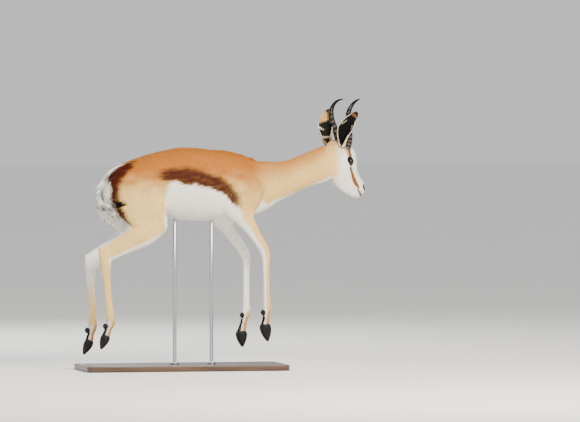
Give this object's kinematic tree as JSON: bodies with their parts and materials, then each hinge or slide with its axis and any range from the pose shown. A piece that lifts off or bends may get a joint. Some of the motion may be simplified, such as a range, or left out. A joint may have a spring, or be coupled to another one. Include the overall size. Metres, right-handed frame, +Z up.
{
  "type": "springbok",
  "caption": "Life-size still springbok in mid-leap, back arched and toes hanging, head turned left, on a flat base with short rods.",
  "frame": {"origin": "middle of the underside of the stand's base", "axes": "+X the way the animal faces, +Y its left, +Z up"},
  "size_m": [1.1601, 0.32, 1.0522],
  "materials": {
    "coat": "short tan hair with a dark side band and a white belly",
    "face": "short white hair with a brown stripe through the eye",
    "tail_hair": "long white hair ending in a black tuft",
    "horn": "ringed black horn, polished at the tips",
    "hoof": "black hoof horn, satin",
    "eye": "wet gloss",
    "stand_wood": "dark oiled board",
    "stand_steel": "satin"
  },
  "bodies": {
    "root": {"ear_left": "coat", "ear_right": "coat", "eye_left": "eye", "eye_right": "eye", "foreleg_left_cannon": "coat", "foreleg_left_dewclaw_inner": "hoof", "foreleg_left_dewclaw_outer": "hoof", "foreleg_left_hoof_inner": "hoof", "foreleg_left_hoof_outer": "hoof", "foreleg_left_shoulder": "coat", "foreleg_right_cannon": "coat", "foreleg_right_dewclaw_inner": "hoof", "foreleg_right_dewclaw_outer": "hoof", "foreleg_right_hoof_inner": "hoof", "foreleg_right_hoof_outer": "hoof", "foreleg_right_shoulder": "coat", "head": "face", "hindleg_left_cannon": "coat", "hindleg_left_dewclaw_inner": "hoof", "hindleg_left_dewclaw_outer": "hoof", "hindleg_left_hoof_inner": "hoof", "hindleg_left_hoof_outer": "hoof", "hindleg_left_thigh": "coat", "hindleg_right_cannon": "coat", "hindleg_right_dewclaw_inner": "hoof", "hindleg_right_dewclaw_outer": "hoof", "hindleg_right_hoof_inner": "hoof", "hindleg_right_hoof_outer": "hoof", "hindleg_right_thigh": "coat", "horn_left": "horn", "horn_right": "horn", "neck": "coat", "stand_base": "stand_wood", "stand_rod_front": "stand_steel", "stand_rod_rear": "stand_steel", "tail": "tail_hair", "torso": "coat"}
  },
  "joints": []
}
